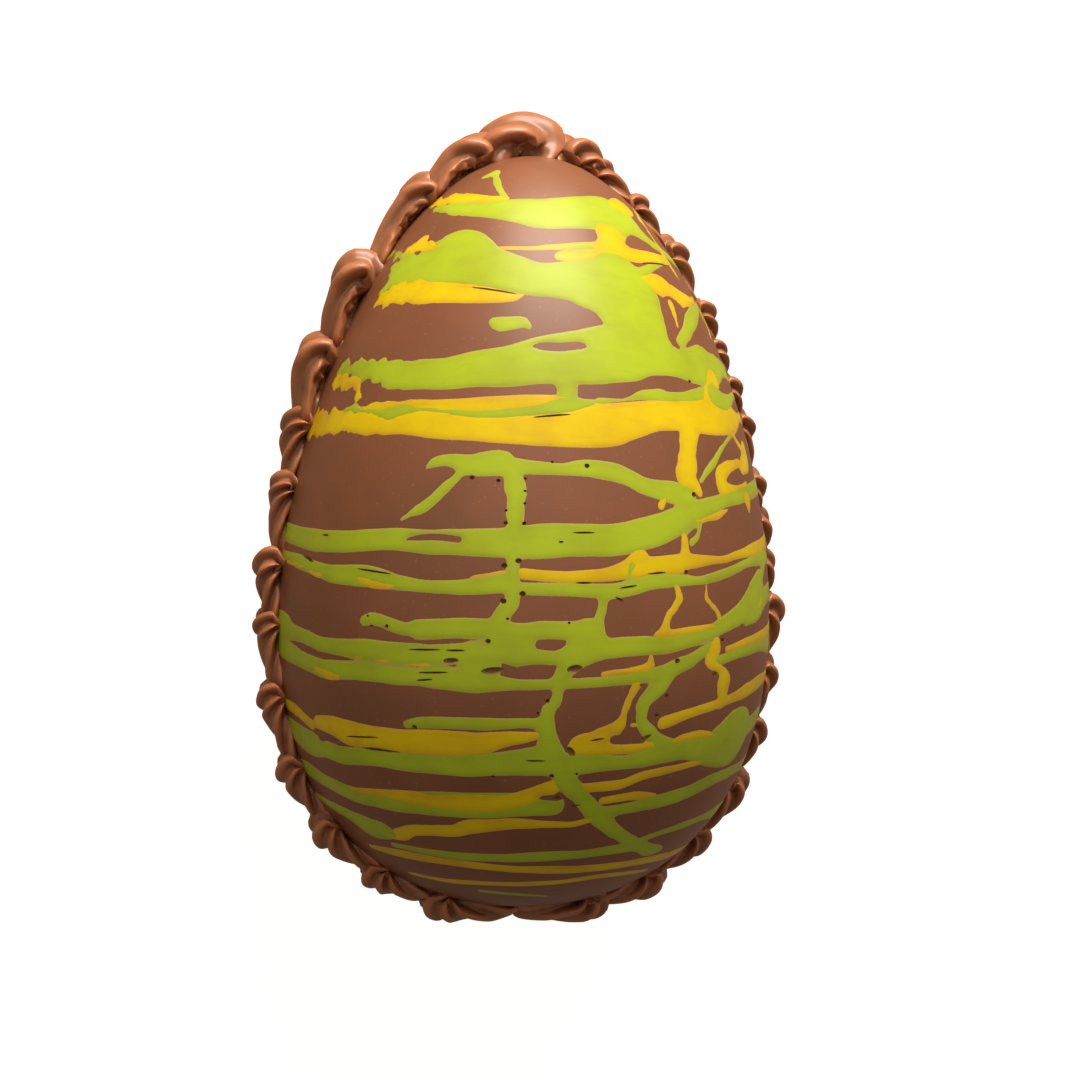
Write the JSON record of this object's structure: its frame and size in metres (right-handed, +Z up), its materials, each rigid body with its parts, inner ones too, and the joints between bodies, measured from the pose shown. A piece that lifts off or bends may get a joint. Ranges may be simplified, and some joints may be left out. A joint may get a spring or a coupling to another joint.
{
  "type": "decorated chocolate easter egg",
  "caption": "Milk chocolate Easter egg of moulded halves, with green and yellow chocolate drizzles and a piped shell border over the seam, lying on its back.",
  "frame": {"origin": "middle of the small flat spot on the back half that the egg rests on", "axes": "+Z up, out of the decorated front half; +Y towards the pointed end, level; +X to the right when seen from above with the pointed end ahead"},
  "size_m": [0.1213, 0.1782, 0.1087],
  "materials": {
    "milk_chocolate": "moulded tempered milk chocolate, satin, with flush green and yellow coloured chocolate drizzles",
    "piped_chocolate": "milk chocolate piped from a star nozzle, smooth satin ridges",
    "green_chocolate": "lime green coloured white chocolate, smooth satin, flush with the egg",
    "yellow_chocolate": "yellow coloured white chocolate, smooth satin, flush with the egg"
  },
  "bodies": {
    "root": {"egg_back_half": "milk_chocolate", "egg_front_half": "milk_chocolate", "piped_left_01": "piped_chocolate", "piped_left_02": "piped_chocolate", "piped_left_03": "piped_chocolate", "piped_left_04": "piped_chocolate", "piped_left_05": "piped_chocolate", "piped_left_06": "piped_chocolate", "piped_left_07": "piped_chocolate", "piped_left_08": "piped_chocolate", "piped_left_09": "piped_chocolate", "piped_left_10": "piped_chocolate", "piped_left_11": "piped_chocolate", "piped_left_12": "piped_chocolate", "piped_left_13": "piped_chocolate", "piped_right_01": "piped_chocolate", "piped_right_02": "piped_chocolate", "piped_right_03": "piped_chocolate", "piped_right_04": "piped_chocolate", "piped_right_05": "piped_chocolate", "piped_right_06": "piped_chocolate", "piped_right_07": "piped_chocolate", "piped_right_08": "piped_chocolate", "piped_right_09": "piped_chocolate", "piped_right_10": "piped_chocolate", "piped_right_11": "piped_chocolate", "piped_right_12": "piped_chocolate", "piped_right_13": "piped_chocolate", "piped_right_14": "piped_chocolate", "piped_right_15": "piped_chocolate", "piped_right_16": "piped_chocolate", "piped_right_17": "piped_chocolate", "piped_right_18": "piped_chocolate", "piped_top": "piped_chocolate"}
  },
  "joints": []
}
